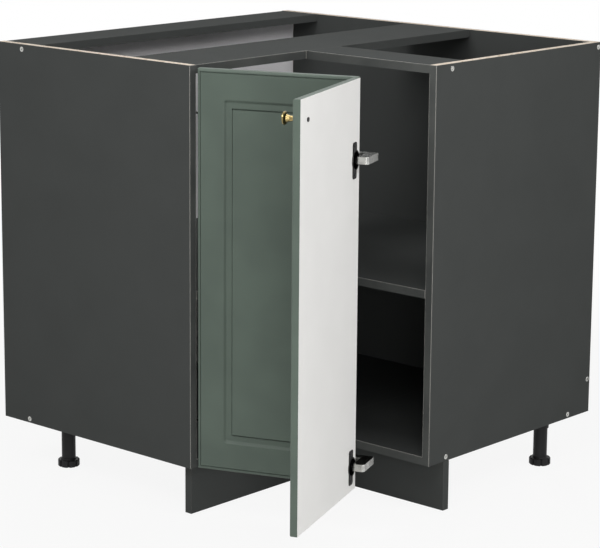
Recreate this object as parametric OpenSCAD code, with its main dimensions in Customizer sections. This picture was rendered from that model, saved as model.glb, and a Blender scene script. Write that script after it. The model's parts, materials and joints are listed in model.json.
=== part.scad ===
// L-shaped corner base cabinet with a pair of hinged front leaves.
// Origin: lower rear corner of the body, where the two room walls meet. The floor is base_h below.

/* [Body] */
// Length of the body along each wall
body_w = 850; // [750:10:1000]
// Depth of each arm, from the wall to the front edges
arm_d = 530; // [480:10:600]
// Height of the body above its legs
body_h = 768; // [680:8:820]
// Thickness of the boards
board_t = 16; // [15:0.5:19]
// Thickness of the band on the front edges
band_t = 1; // [0.4:0.2:2]

/* [Back] */
// Thickness of the thin back board
sheet_t = 3; // [2.5:0.5:5]
// Distance from the left wall to the back board
sheet_set = 30; // [20:1:40]
// Width of the groove that holds the back board
groove_w = 4.4; // [4:0.2:6]
// Depth of the groove
groove_d = 6; // [4:0.5:8]
// Space between the left wall and the boards that carry the groove
wall_gap = 5; // [2:1:10]

/* [Rails and shelf] */
// Width of the rail along the left wall
back_rail_w = 100; // [80:5:120]
// Width of the long front rail
long_rail_w = 165; // [120:5:200]
// Width of the short front rail
short_rail_w = 100; // [80:5:140]
// Height of the shelf's underside above the body's underside
shelf_z = 326; // [200:2:500]
// Gap round the shelf
shelf_play = 1; // [0.5:0.5:2]
// Diameter of the shelf pins
pin_d = 5; // [4:0.5:6]

/* [Base] */
// Height of the legs and the plinth
base_h = 100; // [90:5:150]
// Diameter of a leg's column
column_d = 28.4; // [24:0.2:34]
// Diameter of a leg's foot
foot_d = 44; // [40:0.5:50]
// Height of a leg's foot
foot_h = 17; // [14:1:22]
// Distance from the left arm's front edge to the plinth's face
plinth_set_left = 20; // [10:1:60]
// Distance from the right arm's front edge to the plinth's face
plinth_set_right = 47; // [30:1:70]
// Gap under the plinth
plinth_gap = 1; // [0.5:0.5:3]

/* [Door leaves] */
// Thickness of a leaf
leaf_t = 16; // [16:1:19]
// Height of a leaf
leaf_h = 760; // [660:10:800]
// Gap between the closed leaves and the front edges
door_gap = 3; // [3:0.5:4]
// Gap between the two leaves, and what a leaf keeps from the body's outer faces
leaf_gap = 1.5; // [1.5:0.5:3]
// What a closed leaf keeps from the body's outer faces
leaf_reveal = 1; // [0.5:0.5:3]
// How far the inner leaf stops short of the outer leaf's back
leaf_short = 7.5; // [6:0.5:12]
// Rounding of the front edges
leaf_round = 4; // [2:0.5:5]
// Width of the flat frame round the milled groove
frame_w = 55; // [40:1:70]
// Width of the milled groove
mill_w = 15; // [12:1:20]
// Depth of the milled groove
mill_d = 4; // [2:0.5:5]
// How far the pair stands open, in degrees
open_turn = 69; // [0:1:110]

/* [Knob] */
// Diameter of the knob's disc
knob_d = 24; // [18:1:32]
// How far the knob stands out
knob_h = 28; // [22:1:35]
// Distance from the leaf's free edge to the knob
knob_side = 35; // [25:1:60]
// Distance from the leaf's top to the knob
knob_drop = 38; // [25:1:80]

/* [Hinges] */
// Diameter of a hinge cup
cup_d = 35; // [35:1:40]
// Depth of a hinge cup
cup_depth = 12.9; // [12.5:0.1:13.5]
// Distance from a leaf's edge to the rim of its cup
cup_edge = 3; // [3:0.5:5]
// Height of the upper fold hinge above the leaf's underside
fold_z_top = 615; // [450:1:640]
// Height of the lower fold hinge above the leaf's underside
fold_z_low = 46; // [40:1:120]
// Height of the upper side hinge above the leaf's underside
side_z_top = 674; // [450:1:700]
// Height of the lower side hinge above the leaf's underside
side_z_low = 86; // [40:1:120]
// Diameter of the hinge pins
hinge_pin_d = 3; // [2.4:0.2:3.2]

/* [Hidden] */
$fn = 48;

over = 1;                         // how far a cut runs past the face it opens
fit = 0.1;                        // clearance round a screw
loose = 0.5;                      // play of the thin back board in its groove
grip = 0.05;                      // radial clearance of a pin that is held
running = 0.06;                   // radial clearance of a turning pin
rail_z = body_h - board_t;        // underside of the rails
board_mid = board_t / 2;

// Closed places of the two leaves, seen from above
inner_back = arm_d + door_gap;                   // x of the inner leaf's back
outer_back = -arm_d - door_gap;                  // y of the outer leaf's back
inner_start = -body_w + leaf_reveal;             // y of the inner leaf's hinged edge
inner_w = outer_back - leaf_short - inner_start;
outer_start = inner_back + leaf_t + leaf_gap;    // x of the outer leaf's hinged edge
outer_w = body_w - leaf_reveal - outer_start;
leaf_z = (body_h - leaf_h) / 2;

// Vertical axis that the pair turns about, set so that the leaf's corner clears the end panel
axis_in = 5.6;
turn_axis = [inner_back + leaf_t, inner_start + axis_in];

function turned(v, a) = [v[0] * cos(a) + v[1] * sin(a), v[1] * cos(a) - v[0] * sin(a)];

// Cup centres, and pins in the closed frame
cup_r = cup_d / 2;
cup_wall = 1.1;
cup_floor = 0.8;
cup_in = cup_edge + cup_r;
fold_cup_x = outer_start + cup_in;
fold_pin_in = 7.3;                // from the outer leaf's edge
fold_pin_deep = 9.2;              // below the leaf's back
fold_pin = [outer_start + fold_pin_in, outer_back - fold_pin_deep];
side_cup_more = 1.3;              // the side cups sit this much farther in than the fold cups
side_pin_past = 2.2;              // from the cup's centre
side_pin_deep = 4.5;              // below the leaf's back
side_cup_y = inner_start + cup_in + side_cup_more;
side_pin = [inner_back + side_pin_deep, side_cup_y + side_pin_past];
arm_pin_back = 1.6;               // behind the front edge
arm_pin_off = 11.5;               // from the end panel's inner face
arm_pin = [arm_d - arm_pin_back, -body_w + board_t + arm_pin_off];
link_vec = side_pin - turn_axis;                 // along the first link when closed
knee = arm_pin + turned(link_vec, open_turn);    // knee of the two links as the pair stands
link_2 = turn_axis - arm_pin;                    // the second link keeps this direction
fold_z = [leaf_z + fold_z_low, leaf_z + fold_z_top];
side_z = [leaf_z + side_z_low, leaf_z + side_z_top];
pin_r = hinge_pin_d / 2;
eye_r = pin_r + 1.1;
flange_t = 1.2;
flange_shift = 5.5;               // from the cup's centre to its two screws
flange_screw = 26;                // from the hinge's middle to each screw
cup_screw_r = 1.6;
cup_screw_in = 11;
plate_screw = 16;
plate_screw_in = 10;

// Places of the legs, from the corner of the body
corner_leg = 70;                  // from both walls
left_rear_leg = [106, 76];        // from the left wall and from the body's left side
right_rear_leg = [46, 103];       // from the body's right side and from the right wall
left_front_leg = 97;              // from the body's left side
right_front_leg = 64;             // from the body's right side
inner_leg = 7;                    // in front of the right plinth's face
leg_row = 34;                     // from a plinth's rear face to the legs that hold it
plinth_x = arm_d - plinth_set_left;
plinth_y = -arm_d + plinth_set_right;
plinth_start = 22;                // from the body's left side
front_x = plinth_x - board_t - leg_row;
front_y = plinth_y + board_t + leg_row;
legs = [[corner_leg, -corner_leg], [left_rear_leg[0], -body_w + left_rear_leg[1]],
    [front_x, -body_w + left_front_leg], [front_x, plinth_y - inner_leg],
    [body_w - right_front_leg, front_y], [body_w - right_rear_leg[0], -right_rear_leg[1]]];
column_r = column_d / 2;
socket_h = 22;
socket_plate = 3;
socket_side = 56;
leg_screw_at = 20;
leg_screw_r = 1.9;
leg_screw_in = 12;
foot_top = foot_h - base_h;
stem_r = 8;
stem_len = 40;
stem_play = 8;                    // free bore above the foot's stem
foot_gap = 0.5;                   // between a foot and its column

// Places of the screws: [point on the outer face, direction inward]
screw_drop = 10;
screw_z = body_h - screw_drop;
left_screw_x = [69, 74];          // of the left panel's top and bottom screw
right_screw_y = [48, 53];         // the same in the right panel, from its front edge
end_screw_y = 74;                 // of the right panel's other bottom screw
edge_screw_z = 70;                // of the lower screw into the back panel's edge
back_screw_x = [74, arm_d / 2 + 40, body_w - 150];  // of the bottom screws in the back panel
into_left = [0, 1, 0];
into_right = [-1, 0, 0];
into_back = [0, -1, 0];
left_screws = [[left_screw_x[0], -body_w, screw_z], [left_screw_x[1], -body_w, board_mid]];
right_screws = [[body_w, -arm_d + right_screw_y[0], screw_z], [body_w, -board_mid, screw_z],
    [body_w, -board_mid, edge_screw_z], [body_w, -arm_d + right_screw_y[1], board_mid],
    [body_w, -end_screw_y, board_mid]];
back_screws = [[wall_gap + back_rail_w / 2, 0, screw_z], [arm_d - long_rail_w / 2, 0, screw_z],
    for (x = back_screw_x) [x, 0, board_mid]];
head_r = 5;
head_rim = 0.6;
head_deep = 4.4;
shank_r = 2.5;
screw_len = 50;

// Places of the dowels: [point in the joint, direction into the second board]
dowel_r = 4;
dowel_in = 10;
dowel_out = 20;
inner_face = -body_w + board_t;
dowel_side = 35;                  // from a long rail's edge
dowel_edge = 25;                  // from a short rail's edge
dowel_end = 60;                   // from the ends of the bottoms' seam
rail_mid = rail_z + board_mid;
left_dowels = [[arm_d - long_rail_w + dowel_side, inner_face, rail_mid],
    [arm_d - dowel_side, inner_face, rail_mid],
    [arm_d / 2, inner_face, board_mid], [arm_d - dowel_side, inner_face, board_mid]];
seam_dowels = [[arm_d, -arm_d + dowel_edge, rail_mid],
    [arm_d, -arm_d + short_rail_w - dowel_edge, rail_mid],
    [arm_d, -arm_d + dowel_end, board_mid], [arm_d, -arm_d / 2, board_mid], [arm_d, -dowel_end, board_mid]];

// Shelf pins: [point on the face, direction into the panel]
pin_low = shelf_z - pin_d / 2;
pin_in = 9;
pin_front = 40;                   // from the front edges
pin_rear = 60;                    // from the walls
shelf_pin_points = [
    [[pin_rear, inner_face, pin_low], into_left * -1],
    [[arm_d - pin_front, inner_face, pin_low], into_left * -1],
    [[body_w - board_t, -pin_rear, pin_low], into_right * -1],
    [[body_w - board_t, -arm_d + pin_front, pin_low], into_right * -1],
    [[sheet_set + pin_rear, -board_t, pin_low], into_back * -1],
    [[arm_d - pin_rear, -board_t, pin_low], into_back * -1]];

charcoal = "#4b4c4c";
green = "#4c5b50";
black = "#1d1d1e";
steel = "#a9abad";
brass = "#b89a5c";

module block(low, high) {
    translate(low) cube(high - low);
}

// Puts its children at a point with their Z axis along a direction
module aim(point, dir) {
    translate(point)
        rotate([0, acos(dir[2]), atan2(dir[1], dir[0])]) children();
}

// Places of the closed pair, turned to where it stands
module stand_open() {
    translate(turn_axis) rotate(-open_turn) translate(-turn_axis) children();
}

module each_point(points, dir) {
    for (p = points) aim(p, dir) children();
}

// Flat-headed screw that joins two boards; its head lies flush at z = 0
module body_screw(play = 0, drive = true) {
    head = head_r + play;
    shank = shank_r + play;
    key = 2.3;
    difference() {
        rotate_extrude() polygon([[0, 0], [head, 0], [head, head_rim], [shank, head_deep],
            [shank, screw_len + play], [0, screw_len + play]]);
        if (drive) translate([0, 0, -over]) cylinder(r = key, h = key + over, $fn = 6);
    }
}

module screw_holes(points, dir) {
    each_point(points, dir) {
        body_screw(fit, false);
        translate([0, 0, -over]) cylinder(r = head_r + fit, h = over + fit);
    }
}

module dowel(play = 0) {
    ends = play > 0 ? loose : 0;
    translate([0, 0, -dowel_in - ends])
        cylinder(r = dowel_r + play, h = dowel_in + dowel_out + 2 * ends);
}

module pin_hole() {
    for (s = shelf_pin_points) aim(s[0], s[1])
        translate([0, 0, -over]) cylinder(d = pin_d + fit, h = pin_in + fit + over);
}

// Bands on the front edges
module left_band(z, y0) {
    block([arm_d - band_t, y0, z], [arm_d, -arm_d, z + board_t]);
}

module right_band(z, x1) {
    block([arm_d, -arm_d, z], [x1, -arm_d + band_t, z + board_t]);
}

module edge_bands() {
    x1 = body_w - board_t;
    color(charcoal) {
        block([arm_d - band_t, -body_w, 0], [arm_d, inner_face, body_h]);
        block([x1, -arm_d, 0], [body_w, -arm_d + band_t, body_h]);
        for (z = [0, rail_z]) {
            left_band(z, inner_face);
            right_band(z, x1);
        }
        left_band(shelf_z, inner_face + shelf_play);
        right_band(shelf_z, x1 - shelf_play);
    }
}

// Slot for the thin back board, cut into what lies above, below or beside it
module sheet_slot() {
    block([sheet_set, inner_face - groove_d, -groove_d + board_t], [sheet_set + groove_w,
        -board_t + groove_d, rail_z + groove_d]);
}

module full_slot() {
    block([sheet_set, inner_face - groove_d, -over],
        [sheet_set + groove_w, -board_t + groove_d, body_h + over]);
}

module end_panel_left() {
    color(charcoal) difference() {
        block([0, -body_w, 0], [arm_d - band_t, inner_face, body_h]);
        full_slot();
        screw_holes(left_screws, into_left);
        each_point(left_dowels, into_left) dowel(fit / 2);
        pin_hole();
        side_plate_holes();
    }
}

module end_panel_right() {
    color(charcoal) difference() {
        block([body_w - board_t, -arm_d + band_t, 0], [body_w, 0, body_h]);
        screw_holes(right_screws, into_right);
        pin_hole();
    }
}

module back_panel() {
    color(charcoal) difference() {
        block([0, -board_t, 0], [body_w - board_t, 0, body_h]);
        full_slot();
        screw_holes(right_screws, into_right);
        screw_holes(back_screws, into_back);
        pin_hole();
    }
}

module back_board() {
    color("#b9bab8") block([sheet_set, inner_face - groove_d + loose, board_t - groove_d],
        [sheet_set + sheet_t, -board_t + groove_d - loose, rail_z + groove_d - loose]);
}

module bottom_left() {
    color(charcoal) difference() {
        block([wall_gap, inner_face, 0], [arm_d, -board_t, board_t]);
        left_band(0, inner_face);
        sheet_slot();
        screw_holes(left_screws, into_left);
        screw_holes(back_screws, into_back);
        each_point(left_dowels, into_left) dowel(fit / 2);
        each_point(seam_dowels, [1, 0, 0]) dowel(fit / 2);
        leg_screw_holes();
    }
}

module bottom_right() {
    color(charcoal) difference() {
        block([arm_d, -arm_d, 0], [body_w - board_t, -board_t, board_t]);
        right_band(0, body_w - board_t);
        screw_holes(right_screws, into_right);
        screw_holes(back_screws, into_back);
        each_point(seam_dowels, [1, 0, 0]) dowel(fit / 2);
        leg_screw_holes();
    }
}

module shelf() {
    y0 = inner_face + shelf_play;
    x1 = body_w - board_t - shelf_play;
    color(charcoal) difference() {
        union() {
            block([sheet_set + sheet_t + shelf_play, y0, shelf_z],
                [arm_d, -board_t - shelf_play, shelf_z + board_t]);
            block([arm_d, -arm_d, shelf_z], [x1, -board_t - shelf_play, shelf_z + board_t]);
        }
        left_band(shelf_z, y0);
        right_band(shelf_z, x1);
    }
}

module shelf_pins() {
    stand_out = 8;
    color(steel) for (s = shelf_pin_points) aim(s[0], s[1])
        translate([0, 0, -stand_out]) cylinder(d = pin_d, h = stand_out + pin_in);
}

module back_rail() {
    color(charcoal) difference() {
        block([wall_gap, inner_face, rail_z], [wall_gap + back_rail_w, -board_t, body_h]);
        sheet_slot();
        screw_holes(left_screws, into_left);
        screw_holes(back_screws, into_back);
    }
}

module front_rail_long() {
    color(charcoal) difference() {
        block([arm_d - long_rail_w, inner_face, rail_z], [arm_d, -board_t, body_h]);
        left_band(rail_z, inner_face);
        screw_holes(back_screws, into_back);
        each_point(left_dowels, into_left) dowel(fit / 2);
        each_point(seam_dowels, [1, 0, 0]) dowel(fit / 2);
    }
}

module front_rail_short() {
    color(charcoal) difference() {
        block([arm_d, -arm_d, rail_z], [body_w - board_t, -arm_d + short_rail_w, body_h]);
        right_band(rail_z, body_w - board_t);
        screw_holes(right_screws, into_right);
        each_point(seam_dowels, [1, 0, 0]) dowel(fit / 2);
    }
}

module carcass_screws() {
    color(steel) {
        each_point(left_screws, into_left) body_screw();
        each_point(right_screws, into_right) body_screw();
        each_point(back_screws, into_back) body_screw();
    }
}

module carcass_dowels() {
    color("#c9a877") {
        each_point(left_dowels, into_left) dowel();
        each_point(seam_dowels, [1, 0, 0]) dowel();
    }
}

module plinth_left() {
    color(charcoal) block([plinth_x - board_t, -body_w + plinth_start, plinth_gap - base_h],
        [plinth_x, plinth_y + board_t, -plinth_gap]);
}

module plinth_right() {
    color(charcoal) block([plinth_x, plinth_y, plinth_gap - base_h],
        [body_w, plinth_y + board_t, -plinth_gap]);
}

// Clip that grips a column and carries the plinth on its bracket
module plinth_clip() {
    grip_r = column_r + 3.5;
    height = 18;
    neck = 16;
    plate = 3;
    plate_w = 36;
    plate_more = 8;
    translate([0, 0, -base_h / 2 - height / 2]) {
        difference() {
            union() {
                cylinder(r = grip_r, h = height);
                translate([0, -neck / 2, 0]) cube([leg_row - plate, neck, height]);
            }
            translate([0, 0, -over]) cylinder(r = column_r + fit / 2, h = height + 2 * over);
            translate([-grip_r - over, -neck / 2, -over]) cube([grip_r, neck, height + 2 * over]);
        }
        translate([leg_row - plate, -plate_w / 2, -plate_more])
            cube([plate, plate_w, height + 2 * plate_more]);
    }
}

module plinth_clips() {
    color(black) {
        translate(legs[2]) plinth_clip();
        translate(legs[3]) plinth_clip();
        translate(legs[4]) rotate(-90) plinth_clip();
    }
}

// Legs: a socket under the bottom, a column pressed into it and a foot that screws into the column
module each_leg() {
    for (p = legs) translate(p) children();
}

module leg_screw_places() {
    for (a = [45:90:315]) rotate(a) translate([leg_screw_at * sqrt(2), 0, 0]) children();
}

module leg_screw_holes() {
    each_leg() leg_screw_places()
        translate([0, 0, -over]) cylinder(r = leg_screw_r + fit / 2, h = leg_screw_in + loose + over);
}

module leg_sockets() {
    color(black) each_leg() difference() {
        union() {
            translate([-socket_side / 2, -socket_side / 2, -socket_plate])
                cube([socket_side, socket_side, socket_plate]);
            translate([0, 0, -socket_h]) cylinder(r1 = column_r + 2, r2 = column_r + 4, h = socket_h);
        }
        translate([0, 0, -socket_h - over])
            cylinder(r = column_r + fit / 2, h = socket_h - socket_plate + over);
        leg_screw_places() translate([0, 0, -socket_plate - over])
            cylinder(r = leg_screw_r + fit, h = socket_plate + 2 * over);
    }
}

module leg_screws() {
    head = 1.6;
    color(steel) each_leg() leg_screw_places() {
        translate([0, 0, -socket_plate - head]) cylinder(r = 2 * leg_screw_r, h = head);
        translate([0, 0, -socket_plate]) cylinder(r = leg_screw_r, h = socket_plate + leg_screw_in);
    }
}

module leg_columns() {
    color(black) each_leg() difference() {
        translate([0, 0, foot_top + foot_gap])
            cylinder(r = column_r, h = -foot_top - foot_gap - socket_plate);
        translate([0, 0, foot_top]) cylinder(r = stem_r + running, h = stem_len + stem_play);
    }
}

module foot(i) {
    lobes = 8;
    rim = foot_d / 2;
    soft = 1.5;
    step = 2.5;
    top = foot_h - step;
    notch_r = 2.3;
    notch_in = 1.8;
    slit = notch_r * 0.8;
    color(black) translate(legs[i]) difference() {
        translate([0, 0, -base_h]) rotate_extrude() polygon([[0, 0], [rim - soft, 0], [rim, soft],
            [rim, top - soft], [rim - soft, top], [column_r + soft, top],
            [column_r, foot_h], [stem_r, foot_h], [stem_r, foot_h + stem_len], [0, foot_h + stem_len]]);
        for (k = [0:lobes - 1]) rotate(k * 360 / lobes) translate([rim - notch_in, 0, -base_h - over]) {
            cylinder(r = notch_r, h = top + over);
            translate([0, -slit, 0]) cube([notch_in + over, 2 * slit, top + over]);
        }
    }
}

module foot_rear() { foot(0); }
module foot_left_rear() { foot(1); }
module foot_left_front() { foot(2); }
module foot_inner() { foot(3); }
module foot_right_front() { foot(4); }
module foot_right_rear() { foot(5); }

// Front board: x along its width, its back at y = 0 and its front at y = -leaf_t
module round_front(len) {
    flat_t = leaf_t - leaf_round;
    translate([0, -flat_t]) square([len, flat_t]);
    translate([leaf_round, -leaf_t]) square([len - 2 * leaf_round, leaf_t]);
    for (x = [leaf_round, len - leaf_round]) translate([x, -flat_t]) circle(r = leaf_round);
}

// Profile of the groove, from the frame's edge inward: [distance, depth]
mill_profile = [[0, -1], [0, 0], [0.08, 0.75], [0.17, 0.97], [0.29, 1], [0.43, 0.85], [0.66, 0.42],
    [0.88, 0.12], [1, 0], [1, -1]];

module mill_side(len) {
    intersection() {
        rotate([90, 0, 90]) linear_extrude(len)
            polygon([for (p = mill_profile) [-leaf_t + p[1] * mill_d, p[0] * mill_w]]);
        rotate([90, 0, 0]) linear_extrude(leaf_t + mill_d + over)
            polygon([[0, 0], [len, 0], [len - mill_w, mill_w], [mill_w, mill_w]]);
    }
}

module mill_ring(w, h) {
    run = w - 2 * frame_w;
    rise = h - 2 * frame_w;
    translate([frame_w, 0, frame_w]) mill_side(run);
    translate([w - frame_w, 0, h - frame_w]) rotate([0, 180, 0]) mill_side(run);
    translate([frame_w, 0, h - frame_w]) rotate([0, 90, 0]) mill_side(rise);
    translate([w - frame_w, 0, frame_w]) rotate([0, -90, 0]) mill_side(rise);
}

module leaf(w) {
    color(green) difference() {
        intersection() {
            linear_extrude(leaf_h) round_front(w);
            rotate([0, -90, 0]) mirror([0, 0, 1]) linear_extrude(w) round_front(leaf_h);
        }
        mill_ring(w, leaf_h);
    }
}

module inner_place() { translate([inner_back, inner_start, leaf_z]) rotate(90) children(); }
module outer_place() { translate([outer_start, outer_back, leaf_z]) children(); }

// Frames of the cups: x away from the leaf's edge, y along the hinge, z out of the leaf's back
module side_cup_frame() {
    for (z = side_z) translate([inner_back, side_cup_y, z])
        rotate([0, 0, 90]) rotate([-90, 0, 0]) children();
}

module fold_cup_frame() {
    for (z = fold_z) translate([fold_cup_x, outer_back, z]) rotate([-90, 0, 0]) children();
}

module cup_bore() {
    translate([0, 0, -cup_depth - fit]) cylinder(d = cup_d, h = cup_depth + fit + over);
    for (s = [-1, 1]) translate([flange_shift, s * flange_screw, -cup_screw_in - loose])
        cylinder(r = cup_screw_r + fit / 2, h = cup_screw_in + loose + over);
}

module door_leaf_inner() {
    color(green) stand_open() difference() {
        inner_place() leaf(inner_w);
        side_cup_frame() cup_bore();
        fold_plate_holes();
    }
}

module door_leaf_outer() {
    color(green) stand_open() difference() {
        outer_place() leaf(outer_w);
        fold_cup_frame() cup_bore();
        outer_place() translate([outer_w - knob_side, over, leaf_h - knob_drop])
            rotate([90, 0, 0]) cylinder(r = knob_screw_r + 2 * fit, h = leaf_t + 2 * over);
    }
}

// Hinge cup with its flange; two ears hold the pin
module hinge_cup(pin_x, pin_depth, ear_low, ear_high) {
    inside_r = cup_r - fit - cup_wall;
    ear_w = 6.4;
    corner = 5;
    half_len = 33;
    side = half_len - corner;
    difference() {
        union() {
            linear_extrude(flange_t) {
                circle(r = cup_r + 1);
                translate([flange_shift - 2 * corner, -side]) square([4 * corner, 2 * side]);
                translate([flange_shift - corner, -half_len]) square([2 * corner, 2 * half_len]);
                for (x = [-corner, corner], y = [-side, side])
                    translate([flange_shift + x, y]) circle(r = corner);
            }
            translate([0, 0, -cup_depth]) cylinder(r = cup_r - fit, h = cup_depth);
        }
        translate([0, 0, -cup_depth + cup_floor]) cylinder(r = inside_r, h = cup_depth + flange_t);
        for (s = [-1, 1]) translate([flange_shift, s * flange_screw, -over])
            cylinder(r = cup_screw_r + 2 * fit, h = flange_t + 2 * over);
    }
    difference() {
        intersection() {
            for (low = [ear_low, -ear_high]) translate([pin_x - ear_w / 2, low, cup_floor / 2 - cup_depth])
                cube([ear_w, ear_high - ear_low, cup_depth - cup_floor / 2 - pin_depth + ear_w / 2]);
            translate([0, 0, -cup_depth]) cylinder(r = inside_r + cup_wall / 2, h = 2 * cup_depth);
        }
        translate([pin_x, 0, -pin_depth]) rotate([90, 0, 0])
            cylinder(r = pin_r + grip, h = 4 * ear_high, center = true);
    }
}

module cup_screws() {
    for (s = [-1, 1]) translate([flange_shift, s * flange_screw, 0]) {
        translate([0, 0, flange_t]) cylinder(r1 = 3.6, r2 = 2.6, h = 0.9);
        translate([0, 0, -cup_screw_in]) cylinder(r = cup_screw_r, h = cup_screw_in + flange_t);
    }
}

// Side hinges: the cup sits in the inner leaf and the arm on the left end panel
side_ears = [6.2, 8];

module side_hinge_cups() {
    color(steel) stand_open() side_cup_frame()
        hinge_cup(side_pin[1] - side_cup_y, side_pin[0] - inner_back, side_ears[0], side_ears[1]);
}

module side_cup_screws() {
    color(steel) stand_open() side_cup_frame() cup_screws();
}

module upright_pin(point, z, half) {
    translate([point[0], point[1], z - half]) cylinder(r = pin_r, h = 2 * half);
}

module side_cup_pins() {
    color(steel) stand_open() for (z = side_z) upright_pin(side_pin, z, side_ears[1]);
}

plate_in = 37;                    // from the front edge to the mounting plate's screws
plate_x = arm_d - plate_in;
plate_t = 2.5;
plate_face = inner_face + plate_t;
wing_half = 8;                    // half the width of a mounting plate and of its cross wings
wing_end = 24;                    // from the hinge's middle to the end of a wing
wing_low = 0.5;                   // the wings lie this much lower
plate_nose = 14;
side_screw_r = 2;

module side_plate_holes() {
    for (z = side_z, s = [-1, 1]) translate([plate_x, inner_face + over, z + s * plate_screw])
        rotate([90, 0, 0]) cylinder(r = side_screw_r + fit, h = plate_screw_in + over + loose);
}

module side_hinge_plates() {
    color(steel) for (z = side_z) difference() {
        union() {
            block([plate_x - wing_end, inner_face, z - wing_half],
                [plate_x + plate_nose, plate_face, z + wing_half]);
            block([plate_x - wing_half, inner_face, z - wing_end],
                [plate_x + wing_half, plate_face - wing_low, z + wing_end]);
        }
        for (s = [-1, 1]) translate([plate_x, plate_face + over, z + s * plate_screw])
            rotate([90, 0, 0]) cylinder(r = side_screw_r + 2 * fit, h = plate_t + 2 * over);
    }
}

module side_plate_screws() {
    color(steel) for (z = side_z, s = [-1, 1])
        translate([plate_x, plate_face - wing_low, z + s * plate_screw]) rotate([90, 0, 0]) {
            translate([0, 0, -2]) cylinder(r1 = 2.8, r2 = 3.8, h = 2);
            cylinder(r = side_screw_r, h = plate_t - wing_low + plate_screw_in);
        }
}

module side_hinge_arms() {
    rise = 14;
    reach = 50;                   // from the plate's middle to the arm's rear end
    half = 6.6;
    skin = 1.4;
    tab = 2;
    nose = 6;
    slope = 8;
    top = plate_face + rise;
    back = plate_x - reach;
    front = arm_pin[0] - rise;
    color(steel) for (z = side_z) difference() {
        union() {
            translate([0, 0, z - half]) linear_extrude(2 * half)
                polygon([[back, plate_face], [back, top - nose], [back + slope, top], [front - nose, top],
                    [front, top - nose], [front, plate_face + nose], [front - nose, plate_face]]);
            translate([front - tab, arm_pin[1] - link_r, z - tab])
                cube([arm_pin[0] - front + tab, 2 * link_r, 2 * tab]);
            translate([arm_pin[0], arm_pin[1], z - tab]) cylinder(r = link_r, h = 2 * tab);
        }
        translate([0, 0, z - half + skin]) linear_extrude(2 * (half - skin))
            polygon([[back + skin, plate_face - over], [back + skin, top - nose],
                [back + slope, top - skin], [front - nose, top - skin],
                [front - skin, top - nose], [front - skin, plate_face - over]]);
        translate([arm_pin[0], arm_pin[1], z - tab - over])
            cylinder(r = pin_r + grip, h = 2 * (tab + over));
    }
}

module side_arm_pins() {
    color(steel) for (z = side_z) upright_pin(arm_pin, z, 4);
}

// The links lie in layers above and below the hinge's middle: the first one's bars inside,
// the second one's outside them
link_r = 2.9;
first_bar = [2.2, 4];
second_bar = [4.2, 5.8];

// A flat bar with an eye at each end
module bar(from, to, layer) {
    run = to - from;
    waist = link_r * 0.7;
    thick = layer[1] - layer[0];
    for (low = [layer[0], -layer[1]]) translate([from[0], from[1], low]) rotate(atan2(run[1], run[0])) {
        translate([0, -waist, 0]) cube([norm(run), 2 * waist, thick]);
        for (x = [0, norm(run)]) translate([x, 0, 0]) cylinder(r = link_r, h = thick);
    }
}

module side_links_arm() {
    web = 2;
    web_in = 5.5;
    web_half = first_bar[0] + 0.2;
    way = knee - arm_pin;
    color(steel) for (z = side_z) translate([0, 0, z]) difference() {
        union() {
            bar(arm_pin, knee, first_bar);
            translate([arm_pin[0], arm_pin[1], -web_half]) rotate(atan2(way[1], way[0]))
                translate([web_in, -web, 0]) cube([norm(way) - 2 * web_in, 2 * web, 2 * web_half]);
        }
        for (p = [arm_pin, knee]) translate([p[0], p[1], -first_bar[1] - over])
            cylinder(r = pin_r + running, h = 2 * (first_bar[1] + over));
    }
}

module side_links_cup() {
    cup_end = knee + link_2;
    half = second_bar[1];
    color(steel) for (z = side_z) translate([0, 0, z]) difference() {
        union() {
            bar(knee, cup_end, second_bar);
            translate([knee[0], knee[1], -half]) cylinder(r = pin_r, h = 2 * half);
        }
        translate([cup_end[0], cup_end[1], -half - over])
            cylinder(r = pin_r + running, h = 2 * (half + over));
    }
}

// Fold hinges: the cup sits in the outer leaf and the arm on the inner leaf's back
fold_ears = [3.8, 6.6];
arm_half = 6.7;
arm_skin = 1.4;
box_end = 23.5;
box_over = 3.6;                   // the box keeps this level over the leaves' edges
box_rise = 25;
box_deep = 18;
seat_t = 4;                       // height of the mounting plate under the arm
bend_x = outer_start + box_end;
box_low = outer_back + box_over;
box_top = outer_back + box_rise;
box_back = inner_back - box_deep;
fold_arm_angle = 32;
strip_t = 2.2;
arm_len = 59;
arm_end = outer_back - arm_len;
strip_half = 3.5;

module fold_hinge_cups() {
    color(black) stand_open() fold_cup_frame()
        hinge_cup(fold_pin[0] - fold_cup_x, outer_back - fold_pin[1], fold_ears[0], fold_ears[1]);
}

module fold_cup_screws() {
    color(steel) stand_open() fold_cup_frame() cup_screws();
}

module fold_hinge_pins() {
    color(steel) stand_open() for (z = fold_z) upright_pin(fold_pin, z, fold_ears[1]);
}

function on_strip(x, side) = fold_pin[1] + side * strip_t / 2 / cos(fold_arm_angle)
    + (x - fold_pin[0]) * tan(fold_arm_angle);

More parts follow.
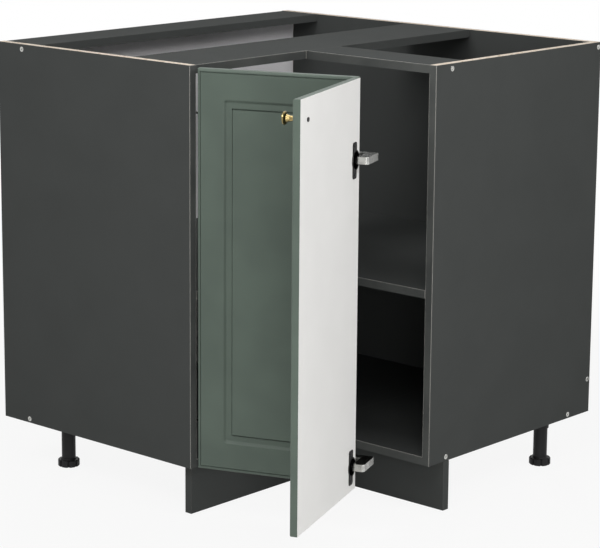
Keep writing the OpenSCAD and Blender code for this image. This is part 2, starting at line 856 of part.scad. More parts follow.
module fold_hinge_arms() {
    seat = inner_back - seat_t;
    bevel = 4;
    inner_end = bend_x - arm_skin;
    inner_top = box_top - arm_skin;
    inner_side = box_back + arm_skin;
    color(steel) stand_open() for (z = fold_z) difference() {
        union() {
            translate([0, 0, z - arm_half]) linear_extrude(2 * arm_half) polygon([[bend_x, box_low],
                [bend_x, box_top - bevel], [bend_x - bevel, box_top], [box_back + bevel, box_top],
                [box_back, box_top - bevel], [box_back, arm_end], [seat, arm_end], [seat, box_low]]);
            translate([0, 0, z - strip_half]) linear_extrude(2 * strip_half) polygon([
                [fold_pin[0], on_strip(fold_pin[0], -1)], [bend_x, on_strip(bend_x, -1)],
                [bend_x, box_low + over], [bend_x - strip_t, box_low + over],
                [bend_x - strip_t, on_strip(bend_x - strip_t, 1)], [fold_pin[0], on_strip(fold_pin[0], 1)]]);
            translate([fold_pin[0], fold_pin[1], z - strip_half]) cylinder(r = eye_r, h = 2 * strip_half);
        }
        translate([0, 0, z - arm_half + arm_skin]) linear_extrude(2 * (arm_half - arm_skin)) polygon([
            [inner_end - over, box_low - over / 2], [inner_end - over, box_low + arm_skin],
            [inner_end, box_low + arm_skin], [inner_end, inner_top - bevel], [inner_end - bevel, inner_top],
            [inner_side + bevel, inner_top], [inner_side, inner_top - bevel], [inner_side, arm_end - over],
            [seat + over, arm_end - over], [seat + over, box_low - over / 2]]);
        translate([fold_pin[0], fold_pin[1], z - strip_half - over])
            cylinder(r = pin_r + running, h = 2 * (strip_half + over));
    }
}

fold_plate_in = 44;
fold_plate_y = outer_back - fold_plate_in;
plate_half_t = seat_t / 2;
plate_tail = 20;

module fold_plate_holes() {
    for (z = fold_z, s = [-1, 1]) translate([inner_back - over, fold_plate_y, z + s * plate_screw])
        rotate([0, 90, 0]) cylinder(r = cup_screw_r + fit / 2, h = plate_screw_in + loose + over);
}

module fold_hinge_plates() {
    color(steel) stand_open() for (z = fold_z) difference() {
        union() {
            block([inner_back - seat_t, fold_plate_y - plate_tail, z - wing_half],
                [inner_back, fold_plate_y + wing_end, z + wing_half]);
            block([inner_back - plate_half_t, fold_plate_y - wing_half, z - wing_end],
                [inner_back, fold_plate_y + wing_half, z + wing_end]);
        }
        for (s = [-1, 1]) translate([inner_back - seat_t, fold_plate_y, z + s * plate_screw])
            rotate([0, 90, 0]) cylinder(r = cup_screw_r + 2 * fit, h = seat_t + over);
    }
}

module fold_plate_screws() {
    color(steel) stand_open() for (z = fold_z, s = [-1, 1])
        translate([inner_back - plate_half_t, fold_plate_y, z + s * plate_screw]) rotate([0, 90, 0]) {
            translate([0, 0, -1.8]) cylinder(r1 = 2.6, r2 = 3.6, h = 1.8);
            cylinder(r = cup_screw_r, h = plate_half_t + plate_screw_in);
        }
}

// Knob on the outer leaf's front, held by a screw through the leaf
knob_screw_r = 2;
knob_screw_in = 10;

module knob_place() {
    stand_open() outer_place() translate([outer_w - knob_side, -leaf_t, leaf_h - knob_drop])
        rotate([90, 0, 0]) children();
}

module knob() {
    r = knob_d / 2;
    color(brass) knob_place() difference() {
        rotate_extrude() polygon([[0, 0], [4.8, 0], [4.8, 0.8], [4.3, 1.6], [4.4, knob_h * 0.35],
            [5.2, knob_h * 0.56], [7.2, knob_h * 0.76], [r - 1.5, knob_h - 5], [r, knob_h - 3.4],
            [r - 0.4, knob_h - 1.4], [r - 2, knob_h - 0.4], [r - 5, knob_h], [0, knob_h]]);
        translate([0, 0, -over]) cylinder(r = knob_screw_r + fit / 2, h = knob_screw_in + over + over);
    }
}

module knob_screw() {
    head = 1.8;
    color(steel) knob_place() {
        translate([0, 0, -leaf_t - head]) cylinder(r = 2 * knob_screw_r, h = head);
        translate([0, 0, -leaf_t]) cylinder(r = knob_screw_r, h = leaf_t + knob_screw_in);
    }
}

end_panel_left();
end_panel_right();
back_panel();
back_board();
bottom_left();
bottom_right();
shelf();
shelf_pins();
back_rail();
front_rail_long();
front_rail_short();
edge_bands();
carcass_screws();
carcass_dowels();
plinth_left();
plinth_right();
plinth_clips();
leg_sockets();
leg_screws();
leg_columns();
foot_rear();
foot_left_rear();
foot_left_front();
foot_inner();
foot_right_front();
foot_right_rear();
side_hinge_plates();
side_hinge_arms();
side_plate_screws();
side_arm_pins();
side_links_arm();
side_links_cup();
side_cup_pins();
side_hinge_cups();
side_cup_screws();
door_leaf_inner();
door_leaf_outer();
fold_hinge_plates();
fold_plate_screws();
fold_hinge_arms();
fold_hinge_pins();
fold_hinge_cups();
fold_cup_screws();
knob();
knob_screw();
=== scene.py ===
import json
import math

import bmesh
import bpy
from mathutils import Matrix, Vector


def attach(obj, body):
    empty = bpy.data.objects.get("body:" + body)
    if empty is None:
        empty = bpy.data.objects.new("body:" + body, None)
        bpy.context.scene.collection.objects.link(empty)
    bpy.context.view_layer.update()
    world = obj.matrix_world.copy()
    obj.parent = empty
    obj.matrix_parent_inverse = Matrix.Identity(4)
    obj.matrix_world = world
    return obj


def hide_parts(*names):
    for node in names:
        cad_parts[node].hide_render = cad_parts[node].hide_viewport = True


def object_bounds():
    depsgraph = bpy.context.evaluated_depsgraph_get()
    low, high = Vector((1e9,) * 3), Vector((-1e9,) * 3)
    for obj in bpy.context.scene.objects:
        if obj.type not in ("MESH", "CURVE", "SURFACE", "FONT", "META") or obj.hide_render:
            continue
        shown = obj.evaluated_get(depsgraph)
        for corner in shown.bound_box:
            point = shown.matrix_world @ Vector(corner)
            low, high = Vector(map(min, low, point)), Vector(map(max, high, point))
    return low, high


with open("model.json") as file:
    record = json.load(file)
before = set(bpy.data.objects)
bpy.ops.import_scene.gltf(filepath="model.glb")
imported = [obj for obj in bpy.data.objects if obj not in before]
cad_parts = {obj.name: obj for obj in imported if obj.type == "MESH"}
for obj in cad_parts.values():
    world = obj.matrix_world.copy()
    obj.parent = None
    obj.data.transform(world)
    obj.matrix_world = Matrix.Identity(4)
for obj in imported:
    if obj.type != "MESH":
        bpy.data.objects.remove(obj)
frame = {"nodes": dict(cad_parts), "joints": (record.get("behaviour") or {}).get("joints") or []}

cadLow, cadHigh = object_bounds()
nodes = frame["nodes"]
floorLevel = cadLow.z
mm = 0.001    # in metres, the frame's unit
print("frame loaded:", len(nodes), "nodes")

# Camera: a long lens from in front of the open corner, above the cabinet's top
view = {
    "place": (3.4257, -3.7920, 1.2988),  # metres, from the corner where the walls meet
    "turn": 41.717,                      # degrees, from looking along +Y towards -X
    "down": 11.806,
    "roll": 0.447,
    "focal": 2272.0,                     # in pixels of the picture
    "centreRow": 244.0,                  # row that the lens axis meets
    "picture": (600, 548),
    "sensor": 36,                        # mm
    "clip": (0.05, 100),                 # metres
}


def makeCamera(v):
    turn, down, roll = (math.radians(v[k]) for k in ("turn", "down", "roll"))
    ahead = Vector((-math.sin(turn) * math.cos(down), math.cos(turn) * math.cos(down), -math.sin(down)))
    right = Vector((math.cos(turn), math.sin(turn), 0))
    up = right.cross(ahead)
    sideways = right * math.cos(roll) + up * math.sin(roll)
    upward = up * math.cos(roll) - right * math.sin(roll)
    width, height = v["picture"]
    data = bpy.data.cameras.new("camera")
    data.sensor_width = v["sensor"]
    data.lens = v["focal"] * v["sensor"] / width
    data.shift_y = (v["centreRow"] - height / 2) / width
    data.clip_start, data.clip_end = v["clip"]
    camera = bpy.data.objects.new("camera", data)
    axes = Matrix((sideways, upward, -ahead)).transposed().to_4x4()
    camera.matrix_world = Matrix.Translation(v["place"]) @ axes
    bpy.context.scene.collection.objects.link(camera)
    bpy.context.scene.camera = camera


makeCamera(view)
print("camera placed")

# Materials: every pattern's size and relief is in mm on the real piece
tintFrom, tintTo, tinted = 6, 7, 2    # colour sockets of a Mix node, whose names repeat
bevelSamples = 4


def toLinear(colour):
    parts = [int(colour[i:i + 2], 16) / 255 for i in (1, 3, 5)]
    return (*[p / 12.92 if p < 0.04045 else ((p + 0.055) / 1.055) ** 2.4 for p in parts], 1)


# Scale of a texture whose coordinates are metres
def perMetre(size):
    return 1 / (size * mm)


def addNode(tree, kind, settings=None, values=None, links=None):
    node = tree.nodes.new(kind)
    for name, value in (settings or {}).items():
        setattr(node, name, value)
    for name, value in (values or {}).items():
        node.inputs[name].default_value = value
    for name, source in (links or {}).items():
        tree.links.new(source, node.inputs[name])
    return node


def newMaterial(name, sockets):
    material = bpy.data.materials.new(name)
    material.use_nodes = True
    tree = material.node_tree
    tree.nodes.clear()
    shader = addNode(tree, "ShaderNodeBsdfPrincipled", values=sockets)
    addNode(tree, "ShaderNodeOutputMaterial", links={"Surface": shader.outputs["BSDF"]})
    return material, tree, shader


# Tone that drifts between two colours, and the pattern that it follows
def drift(tree, place, pattern, colour, other):
    noise = addNode(tree, "ShaderNodeTexNoise",
                    values={"Scale": perMetre(pattern["size"]), "Detail": pattern["detail"]},
                    links={"Vector": place})
    share = addNode(tree, "ShaderNodeMapRange",
                    values={"From Min": pattern["from"], "From Max": pattern["to"]},
                    links={"Value": noise.outputs["Fac"]})
    tone = addNode(tree, "ShaderNodeMix", {"data_type": "RGBA"},
                   {tintFrom: toLinear(colour), tintTo: toLinear(other)}, {"Factor": share.outputs["Result"]})
    return tone.outputs[tinted], noise.outputs["Fac"]


# Fine unevenness of a surface
def relief(tree, place, pattern, shape=None):
    noise = addNode(tree, "ShaderNodeTexNoise",
                    values={"Scale": perMetre(pattern["size"]), "Detail": pattern["detail"]},
                    links={"Vector": place})
    bump = addNode(tree, "ShaderNodeBump",
                   values={"Strength": pattern["strength"], "Distance": pattern["depth"] * mm},
                   links={"Height": noise.outputs["Fac"], **({"Normal": shape} if shape else {})})
    return bump.outputs["Normal"]


# Melamine-faced chipboard, charcoal: paper pressed with a fine peel, so matt with a soft even sheen
melamine = {
    "sockets": {"Roughness": 0.8, "IOR": 1.5, "Specular IOR Level": 0.03},
    "colour": "#484a49", "paler": "#4a4c4b", "band": "#565856",
    "cloud": {"size": 90, "detail": 3, "from": 0.35, "to": 0.65},    # slow drift of the print's tone
    "peel": {"size": 1.6, "detail": 2, "strength": 0.08, "depth": 0.4},   # really about 0.3, too fine to show
    # painted highlight: paler colours along the edges of the boards and of the bands
    "arrisHighlight": "#5c5d5b", "bandArrisHighlight": "#aeaca7",
    "arrisWidth": 1.8,       # mm of the edge's rounding that carries the painted highlight
    "bend": (0.995, 0.93),   # cosine of the rounding's turn where the painted highlight starts and is full
    "under": (-0.2, 0.0),    # upward share of the normal: edges that look down, away from the light above, get no painted highlight
    "core": "#d9c8b4", "coreDark": "#a98e6e", "coreLight": "#f2e9dd",
    "chip": 2.2,             # length of a wood chip
    "chipTone": (0.1, 0.9),
    "grain": {"size": 6.6, "detail": 4, "from": 0.56, "to": 0.72},
    "cut": (0.6, 0.4),       # share of the normal across the board, from its face to its cut edge
}


# Share of painted highlight: on the rounded edges of a piece that don't look down, where light from above would
# catch them
def edgeHighlight(tree):
    m = melamine
    rounded = addNode(tree, "ShaderNodeBevel", {"samples": bevelSamples}, {"Radius": m["arrisWidth"] * mm})
    flat = addNode(tree, "ShaderNodeNewGeometry")
    along = addNode(tree, "ShaderNodeVectorMath", {"operation": "DOT_PRODUCT"},
                    links={0: rounded.outputs["Normal"], 1: flat.outputs["True Normal"]})
    edge = addNode(tree, "ShaderNodeMapRange", values={"From Min": m["bend"][0], "From Max": m["bend"][1]},
                   links={"Value": along.outputs["Value"]})
    upward = addNode(tree, "ShaderNodeSeparateXYZ", links={"Vector": rounded.outputs["Normal"]})
    lit = addNode(tree, "ShaderNodeMapRange", values={"From Min": m["under"][0], "From Max": m["under"][1]},
                  links={"Value": upward.outputs["Z"]})
    highlighted = addNode(tree, "ShaderNodeMath", {"operation": "MULTIPLY"},
                   links={0: edge.outputs["Result"], 1: lit.outputs["Result"]})
    return highlighted.outputs["Value"]


# Cut chipboard: chips of mixed tone with dark ones between
def chipCore(tree, place):
    m = melamine
    chips = addNode(tree, "ShaderNodeTexVoronoi", values={"Scale": perMetre(m["chip"])}, links={"Vector": place})
    tone = addNode(tree, "ShaderNodeSeparateColor", links={"Color": chips.outputs["Color"]})
    pale = addNode(tree, "ShaderNodeMapRange",
                   values={"From Min": m["chipTone"][0], "From Max": m["chipTone"][1]},
                   links={"Value": tone.outputs["Red"]})
    core = addNode(tree, "ShaderNodeMix", {"data_type": "RGBA"},
                   {tintFrom: toLinear(m["core"]), tintTo: toLinear(m["coreLight"])},
                   {"Factor": pale.outputs["Result"]})
    grain = addNode(tree, "ShaderNodeTexNoise",
                    values={"Scale": perMetre(m["grain"]["size"]), "Detail": m["grain"]["detail"]},
                    links={"Vector": place})
    dark = addNode(tree, "ShaderNodeMapRange",
                   values={"From Min": m["grain"]["from"], "From Max": m["grain"]["to"]},
                   links={"Value": grain.outputs["Fac"]})
    core = addNode(tree, "ShaderNodeMix", {"data_type": "RGBA"}, {tintTo: toLinear(m["coreDark"])},
                   {"Factor": dark.outputs["Result"], tintFrom: core.outputs[tinted]})
    return core.outputs[tinted]


# A board is charcoal all over with a painted highlight along its edges, or bare where its cut edges look across
# the direction of its thickness
def charcoalBoard(name, thickness=None, colour=melamine["colour"], arrisHighlight=melamine["arrisHighlight"]):
    m = melamine
    material, tree, shader = newMaterial(name, m["sockets"])
    place = addNode(tree, "ShaderNodeTexCoord").outputs
    tone, _ = drift(tree, place["Object"], m["cloud"], colour, m["paler"])
    # painted highlight: the paler edge colour, mixed in where the edges are rounded and look up
    face = addNode(tree, "ShaderNodeMix", {"data_type": "RGBA"}, {tintTo: toLinear(arrisHighlight)},
                   {"Factor": edgeHighlight(tree), tintFrom: tone})
    if thickness:
        across = addNode(tree, "ShaderNodeVectorMath", {"operation": "DOT_PRODUCT"}, {1: thickness},
                         {0: place["Normal"]})
        across = addNode(tree, "ShaderNodeMath", {"operation": "ABSOLUTE"}, links={0: across.outputs["Value"]})
        cut = addNode(tree, "ShaderNodeMapRange", values={"From Min": m["cut"][0], "From Max": m["cut"][1]},
                      links={"Value": across.outputs["Value"]})
        face = addNode(tree, "ShaderNodeMix", {"data_type": "RGBA"},
                       links={"Factor": cut.outputs["Result"], tintFrom: face.outputs[tinted],
                              tintTo: chipCore(tree, place["Object"])})
    tree.links.new(face.outputs[tinted], shader.inputs["Base Color"])
    tree.links.new(relief(tree, place["Object"], m["peel"]), shader.inputs["Normal"])
    return material


# Foil-wrapped fibreboard door, sage green and matt in front, white melamine behind
leafLook = {
    "sockets": {"IOR": 1.5, "Specular IOR Level": 0.25},
    "green": "#566159", "greenPaler": "#5d6960", "greenRough": 0.46,
    "white": "#eae9e7", "whitePaler": "#edecea", "whiteRough": 0.5,
    "foil": {"size": 1.2, "detail": 2, "strength": 0.1, "depth": 0.3},    # orange peel, coarser than it is
    "cloud": {"size": 120, "detail": 2, "from": 0.35, "to": 0.65},
    "behind": (0.9, 0.95),    # share of the normal towards the back, where the green gives way to white
}


def leafBoard(name, back):
    m = leafLook
    material, tree, shader = newMaterial(name, m["sockets"])
    place = addNode(tree, "ShaderNodeTexCoord").outputs
    front, _ = drift(tree, place["Object"], m["cloud"], m["green"], m["greenPaler"])
    rear, _ = drift(tree, place["Object"], m["cloud"], m["white"], m["whitePaler"])
    backward = addNode(tree, "ShaderNodeVectorMath", {"operation": "DOT_PRODUCT"}, {1: back},
                       {0: place["Normal"]})
    behind = addNode(tree, "ShaderNodeMapRange",
                     values={"From Min": m["behind"][0], "From Max": m["behind"][1]},
                     links={"Value": backward.outputs["Value"]})
    tone = addNode(tree, "ShaderNodeMix", {"data_type": "RGBA"},
                   links={"Factor": behind.outputs["Result"], tintFrom: front, tintTo: rear})
    gloss = addNode(tree, "ShaderNodeMapRange", values={"To Min": m["greenRough"], "To Max": m["whiteRough"]},
                    links={"Value": behind.outputs["Result"]})
    tree.links.new(tone.outputs[tinted], shader.inputs["Base Color"])
    tree.links.new(gloss.outputs["Result"], shader.inputs["Roughness"])
    tree.links.new(relief(tree, place["Object"], m["foil"]), shader.inputs["Normal"])
    return material


# Lacquered fibreboard, pale grey: thin smooth paint on a fine even board, so a soft satin
paleSheet = {
    "sockets": {"IOR": 1.5, "Roughness": 0.42},
    "colour": "#efedef", "other": "#f5f3f5",
    "drift": {"size": 3.0, "detail": 4, "from": 0.3, "to": 0.7},
    "relief": {"size": 3.0, "detail": 4, "strength": 0.06, "depth": 0.3},    # the board's fibres
}

# Nickel-plated pressed steel: bright, with the faint long marks of the press and soft smears
nickel = {
    "sockets": {"Metallic": 1.0}, "rough": (0.12, 0.28),
    "colour": "#bfbfbb", "other": "#8d8d8b",
    "drift": {"size": 14, "detail": 2, "from": 0.45, "to": 0.8},
    "relief": {"size": 1.5, "detail": 3, "strength": 0.12, "depth": 0.2},
    "drawn": (1, 1, 0.15),    # the marks run along the piece's height
    "pressed": 0.9,           # mm, rounding that the press leaves on sheet steel
}

# Black nickel on the screws: dark but still a metal, so it mirrors the room in streaks
blackNickel = {
    **nickel, "rough": (0.2, 0.36), "colour": "#29292a", "other": "#151516",
    "drift": {**nickel["drift"], "size": 9},
}

# The cups' black nickel is blacker and smoother still
cupBlack = {**blackNickel, "rough": (0.16, 0.32), "colour": "#161617", "other": "#080808"}

# Turned brass, lacquered: warm, with the fine marks of the lathe and a patchy tarnish
brass = {
    "sockets": {"Metallic": 1.0, "Coat Weight": 0.3, "Coat Roughness": 0.1}, "rough": (0.15, 0.27),
    "colour": "#a28f5e", "other": "#5a4c2c",
    "drift": {"size": 7, "detail": 3, "from": 0.45, "to": 0.8},
    "relief": {"size": 0.5, "detail": 2, "strength": 0.1, "depth": 0.1},
}

# Black polypropylene, injection moulded with a spark-eroded grain: a low waxy sheen and pale scuffs
polymer = {
    "sockets": {"IOR": 1.49, "Specular IOR Level": 0.2}, "rough": (0.44, 0.64),
    "colour": "#1d1d1e", "other": "#262627",
    "drift": {"size": 18, "detail": 4, "from": 0.4, "to": 0.75},
    "relief": {"size": 1.0, "detail": 2, "strength": 0.2, "depth": 0.3},
}


# A finish with one tone: where it drifts, the gloss drifts with it
def evenFinish(name, m):
    material, tree, shader = newMaterial(name, m["sockets"])
    place = marksPlace = addNode(tree, "ShaderNodeTexCoord").outputs["Object"]
    tone, patches = drift(tree, place, m["drift"], m["colour"], m["other"])
    tree.links.new(tone, shader.inputs["Base Color"])
    if "rough" in m:
        gloss = addNode(tree, "ShaderNodeMapRange",
                        values={"To Min": m["rough"][0], "To Max": m["rough"][1]}, links={"Value": patches})
        tree.links.new(gloss.outputs["Result"], shader.inputs["Roughness"])
    if "drawn" in m:
        stretched = addNode(tree, "ShaderNodeMapping", values={"Scale": m["drawn"]}, links={"Vector": place})
        marksPlace = stretched.outputs["Vector"]
    shape = None
    if "pressed" in m:
        rounded = addNode(tree, "ShaderNodeBevel", {"samples": bevelSamples}, {"Radius": m["pressed"] * mm})
        shape = rounded.outputs["Normal"]
    tree.links.new(relief(tree, marksPlace, m["relief"], shape), shader.inputs["Normal"])
    return material


# Beech dowels, turned and fluted: pale pinkish wood with short dark rays
beech = {
    "sockets": {"Roughness": 0.55, "IOR": 1.5},
    "colour": "#d2b288", "ray": "#a98357",
    "growth": 24, "distortion": 6, "detail": 3,    # mm between rings, and how they wander
    "rayTone": (0.6, 1.0),
    "strength": 0.15, "depth": 0.3,
}


def beechWood():
    m = beech
    material, tree, shader = newMaterial("beech", m["sockets"])
    place = addNode(tree, "ShaderNodeTexCoord")
    grain = addNode(tree, "ShaderNodeTexWave", {"bands_direction": "Z"},
                    {"Scale": perMetre(m["growth"]), "Distortion": m["distortion"], "Detail": m["detail"]},
                    {"Vector": place.outputs["Object"]})
    rays = addNode(tree, "ShaderNodeMapRange",
                   values={"From Min": m["rayTone"][0], "From Max": m["rayTone"][1]},
                   links={"Value": grain.outputs["Fac"]})
    tone = addNode(tree, "ShaderNodeMix", {"data_type": "RGBA"},
                   {tintFrom: toLinear(m["colour"]), tintTo: toLinear(m["ray"])},
                   {"Factor": rays.outputs["Result"]})
    bump = addNode(tree, "ShaderNodeBump", values={"Strength": m["strength"], "Distance": m["depth"] * mm},
                   links={"Height": grain.outputs["Fac"]})
    tree.links.new(tone.outputs[tinted], shader.inputs["Base Color"])
    tree.links.new(bump.outputs["Normal"], shader.inputs["Normal"])
    return material


# The pair stands open by this turn, so the leaves' backs look this way in the frame
pairSwing = next(j for j in frame["joints"] if j["name"] == "pair_swing")
openTurn = -math.radians(pairSwing["range_deg"][0])    # from closed to the pictured place
innerBack = (-math.cos(openTurn), math.sin(openTurn), 0)
outerBack = (math.sin(openTurn), math.cos(openTurn), 0)

plainBoard = charcoalBoard("charcoalMelamine")
steel = evenFinish("nickelPlatedSteel", nickel)
plastic = evenFinish("mouldedPolypropylene", polymer)
darkSteel = evenFinish("blackNickel", blackNickel)
looks = {
    "end_panel_left": charcoalBoard("charcoalMelamineLeft", (0, 1, 0)),
    "end_panel_right": charcoalBoard("charcoalMelamineRight", (1, 0, 0)),
    "back_panel": charcoalBoard("charcoalMelamineBack", (0, 1, 0)),
    "back_board": evenFinish("lacqueredFibreboard", paleSheet),
    "carcass_dowels": beechWood(),
    "door_leaf_inner": leafBoard("foilWrappedInner", innerBack),
    "door_leaf_outer": leafBoard("foilWrappedOuter", outerBack),
    "edge_bands": charcoalBoard("charcoalBand", None, melamine["band"], melamine["bandArrisHighlight"]),
    "fold_hinge_cups": evenFinish("blackCup", cupBlack),
    "knob": evenFinish("turnedBrass", brass),
}
for name in ("bottom_left", "bottom_right", "shelf", "back_rail", "front_rail_long", "front_rail_short",
             "plinth_left", "plinth_right"):
    looks[name] = plainBoard
for name in ("fold_cup_screws", "knob_screw"):
    looks[name] = darkSteel
for name in nodes:
    if name.startswith(("foot_", "leg_sockets", "leg_columns", "plinth_clips")):
        looks[name] = plastic
    looks.setdefault(name, steel)
for name, node in nodes.items():
    node.data.materials.clear()
    node.data.materials.append(looks[name])
print("materials on", len(looks), "nodes")

# Fronts of the leaves, in mm: a rounded border with a fine cut, a flat frame, then the groove, which has
# a cove outside, an even floor and a sharp step up to the flat panel
milling = {
    "round": 4.0,                      # depth at which the border meets the leaf's edge, as in the frame
    "lip": 5.4, "lipStep": 1.0,        # width of the border, and its depth at the cut
    "quirk": 1.4, "quirkDeep": 3.2,    # fine cut between the border and the flat frame
    "quirkSlope": (0.2, 0.3),          # of the cut's outer and inner side
    "side": 51.5, "end": 54.0,         # from the leaf's outline to the groove
    "width": 19.0, "cove": 7.0, "deep": 4.0,
    "floor": 3.4,                      # depth at the step's foot
    "slot": (2.0, 1.6), "slotDeep": 6.8,    # narrow cut along the step's foot, at its mouth and bottom
    "step": 0.4, "stepBreak": 0.1,     # slope of the step, and its broken upper edge
    "corner": 8.0, "cornerLeast": 0.2,    # radius that the cutter leaves outside, and at the panel
    "borderPoints": 5, "covePoints": 8, "cornerPoints": 6,
}


# Both profiles go inward as points of distance from the outline or the groove's side, and depth
def borderProfile(m):
    turns = [math.pi / 2 * i / m["borderPoints"] for i in range(m["borderPoints"] + 1)]
    rise = m["round"] - m["lipStep"]
    curve = [(m["lip"] * (1 - math.cos(t)), m["round"] - rise * math.sin(t)) for t in turns]
    outer, inner = m["quirkSlope"]
    return curve + [(m["lip"] + outer, m["quirkDeep"]), (m["lip"] + m["quirk"], m["quirkDeep"]),
                    (m["lip"] + m["quirk"] + inner, 0)]


def grooveProfile(m):
    turns = [math.pi * i / m["covePoints"] for i in range(m["covePoints"] + 1)]
    cove = [(m["cove"] * t / math.pi, m["deep"] * (1 - math.cos(t)) / 2) for t in turns]
    foot = m["width"] - m["step"]
    mouth, bottom = m["slot"]
    return cove + [(foot - mouth, m["floor"]), (foot - bottom, m["slotDeep"]), (foot, m["slotDeep"]),
                   (m["width"] - m["stepBreak"], m["step"]), (m["width"], 0)]


def milledLeaf(name, node, body, back):
    m = milling
    out, up = -Vector(back), Vector((0, 0, 1))
    along = up.cross(out)
    bm = bmesh.new()
    bm.from_mesh(nodes[node].data)
    level = max(v.co.dot(out) for v in bm.verts)
    across = [v.co.dot(along) for v in bm.verts]
    heights = [v.co.z for v in bm.verts]
    left, right, low, high = min(across), max(across), min(heights), max(heights)
    plainFront = [f for f in bm.faces if f.normal.dot(out) > 0.01]    # whatever looks forward at all
    bmesh.ops.delete(bm, geom=plainFront, context="FACES")

    # A rounded rectangle, so far in from the sides and ends and so deep
    def loop(side, end, depth, radius):
        halfWidth = (right - left) / 2 - (side + radius) * mm
        halfHeight = (high - low) / 2 - (end + radius) * mm
        ring = []
        for corner in range(4):
            diagonal = math.pi / 2 * (corner + 0.5)
            for i in range(m["cornerPoints"] + 1):
                turn = math.pi / 2 * (corner + i / m["cornerPoints"])
                x = math.copysign(halfWidth, math.cos(diagonal)) + radius * mm * math.cos(turn)
                z = math.copysign(halfHeight, math.sin(diagonal)) + radius * mm * math.sin(turn)
                ring.append(bm.verts.new(along * ((left + right) / 2 + x) + up * ((low + high) / 2 + z)
                                         + out * (level - depth * mm)))
        return ring

    rings = [loop(inward, inward, depth, 0) for inward, depth in borderProfile(m)]
    for inward, depth in grooveProfile(m):
        radius = max(m["corner"] - inward, m["cornerLeast"])
        rings.append(loop(m["side"] + inward, m["end"] + inward, depth, radius))
    made = [bm.faces.new(rings[-1])]
    for outer, inner in zip(rings, rings[1:]):
        for i in range(len(outer)):
            j = (i + 1) % len(outer)
            made.append(bm.faces.new((outer[i], outer[j], inner[j], inner[i])))
    bmesh.ops.remove_doubles(bm, verts=bm.verts, dist=0.001 * mm)
    made = [f for f in made if f.is_valid]
    bm.normal_update()
    bmesh.ops.reverse_faces(bm, faces=[f for f in made if f.normal.dot(out) < 0])
    for face in bm.faces:
        face.smooth = False
    mesh = bpy.data.meshes.new(name)
    bm.to_mesh(mesh)
    bm.free()
    if mesh.has_custom_normals:    # the node's own, which no longer fit
        mesh.attributes.remove(mesh.attributes["custom_normal"])
    mesh.materials.append(looks[node])
    piece = bpy.data.objects.new(name, mesh)
    bpy.context.scene.collection.objects.link(piece)
    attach(piece, body)
    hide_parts(node)


milledLeaf("milledLeafInner", "door_leaf_inner", "leaf_inner", innerBack)
milledLeaf("milledLeafOuter", "door_leaf_outer", "leaf_outer", outerBack)
print("leaves milled")

# Studio: pale floor that turns to plain white away from the cabinet, soft lamps and an even room
studio = {
    "floorSize": 60, "floor": "#d6d6d4", "floorRough": 0.9,
    "shown": 0.9,         # share of plain white that the camera sees near the cabinet
    "fade": (1.0, 2.6),   # metres from the cabinet's middle over which the floor turns white
    "room": (0.35, 0.1),  # light of the walls and of the ceiling
    "dim": (0.2, 0.75),   # height in the room, from the horizon up, over which it changes
    "lamps": {            # place in metres, size, watts
        "front": ((1.9, -2.1, 2.1), 1.0, 10),
        "low": ((2.3, -2.0, 0.5), 1.0, 14),
        "over": ((0.7, -0.7, 2.2), 1.0, 8.5),
        "left": ((0.2, -2.6, 2.0), 1.0, 19.5),
        "right": ((2.6, -0.2, 2.0), 1.0, 19),
        "rear": ((-1.9, 2.0, 0.4), 0.8, 34),
    },
    "aim": (0.4, -0.45, 0.4),
}


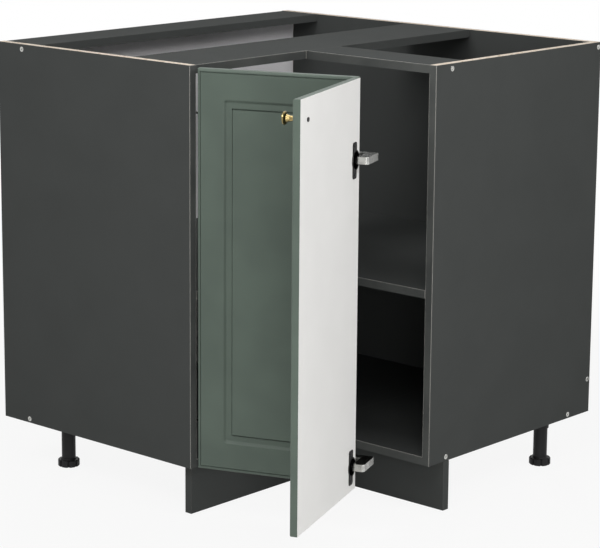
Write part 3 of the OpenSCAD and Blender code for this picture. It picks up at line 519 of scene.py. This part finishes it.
def layFloor(s):
    half = s["floorSize"] / 2
    mesh = bpy.data.meshes.new("floor")
    corners = [(x * half, y * half, floorLevel) for x, y in ((-1, -1), (1, -1), (1, 1), (-1, 1))]
    mesh.from_pydata(corners, [], [(0, 1, 2, 3)])
    floor = bpy.data.objects.new("floor", mesh)
    bpy.context.scene.collection.objects.link(floor)
    material, tree, paint = newMaterial("paintedFloor", {"Base Color": toLinear(s["floor"]),
                                                         "Roughness": s["floorRough"]})
    white = addNode(tree, "ShaderNodeEmission", values={"Strength": 1.0})
    ray = addNode(tree, "ShaderNodeLightPath").outputs
    direct = addNode(tree, "ShaderNodeMath", {"operation": "ADD", "use_clamp": True},
                     links={0: ray["Is Camera Ray"], 1: ray["Is Glossy Ray"]})
    place = addNode(tree, "ShaderNodeNewGeometry")
    middle = (cadLow + cadHigh) / 2
    away = addNode(tree, "ShaderNodeVectorMath", {"operation": "DISTANCE"},
                   {1: (middle.x, middle.y, floorLevel)}, {0: place.outputs["Position"]})
    share = addNode(tree, "ShaderNodeMapRange", {"interpolation_type": "SMOOTHSTEP"},
                    {"From Min": s["fade"][0], "From Max": s["fade"][1], "To Min": s["shown"], "To Max": 1.0},
                    {"Value": away.outputs["Value"]})
    shown = addNode(tree, "ShaderNodeMath", {"operation": "MULTIPLY"},
                    links={0: direct.outputs["Value"], 1: share.outputs["Result"]})
    mix = addNode(tree, "ShaderNodeMixShader",
                  links={0: shown.outputs["Value"], 1: paint.outputs["BSDF"], 2: white.outputs["Emission"]})
    output = next(n for n in tree.nodes if n.type == "OUTPUT_MATERIAL")
    tree.links.new(mix.outputs["Shader"], output.inputs["Surface"])
    mesh.materials.append(material)


# The room is plain white where it is seen, also in a mirror, and lights the object by its height
def lightRoom(s):
    world = bpy.data.worlds.new("room")
    world.use_nodes = True
    tree = world.node_tree
    tree.nodes.clear()
    ray = addNode(tree, "ShaderNodeLightPath").outputs
    direct = addNode(tree, "ShaderNodeMath", {"operation": "ADD", "use_clamp": True},
                     links={0: ray["Is Camera Ray"], 1: ray["Is Glossy Ray"]})
    direct = addNode(tree, "ShaderNodeMath", {"operation": "ADD", "use_clamp": True},
                     links={0: direct.outputs["Value"], 1: ray["Is Transmission Ray"]})
    way = addNode(tree, "ShaderNodeSeparateXYZ",
                  links={"Vector": addNode(tree, "ShaderNodeTexCoord").outputs["Generated"]})
    wall = addNode(tree, "ShaderNodeMapRange", {"interpolation_type": "SMOOTHSTEP"},
                   {"From Min": s["dim"][0], "From Max": s["dim"][1],
                    "To Min": s["room"][0], "To Max": s["room"][1]}, {"Value": way.outputs["Z"]})
    level = addNode(tree, "ShaderNodeMapRange", values={"To Max": 1.0},
                    links={"Value": direct.outputs["Value"], "To Min": wall.outputs["Result"]})
    sky = addNode(tree, "ShaderNodeBackground", values={"Color": (1, 1, 1, 1)},
                  links={"Strength": level.outputs["Result"]})
    addNode(tree, "ShaderNodeOutputWorld", links={"Surface": sky.outputs["Background"]})
    bpy.context.scene.world = world


def hangLamps(s):
    for name, (place, size, watts) in s["lamps"].items():
        lamp = bpy.data.lights.new(name, "AREA")
        lamp.shape, lamp.size, lamp.energy = "DISK", size, watts
        holder = bpy.data.objects.new(name, lamp)
        holder.location = place
        holder.visible_camera = False
        holder.rotation_euler = (Vector(s["aim"]) - Vector(place)).to_track_quat("-Z", "Y").to_euler()
        bpy.context.scene.collection.objects.link(holder)


layFloor(studio)
lightRoom(studio)
hangLamps(studio)
bpy.context.scene.view_settings.view_transform = "Standard"
print("studio lit")
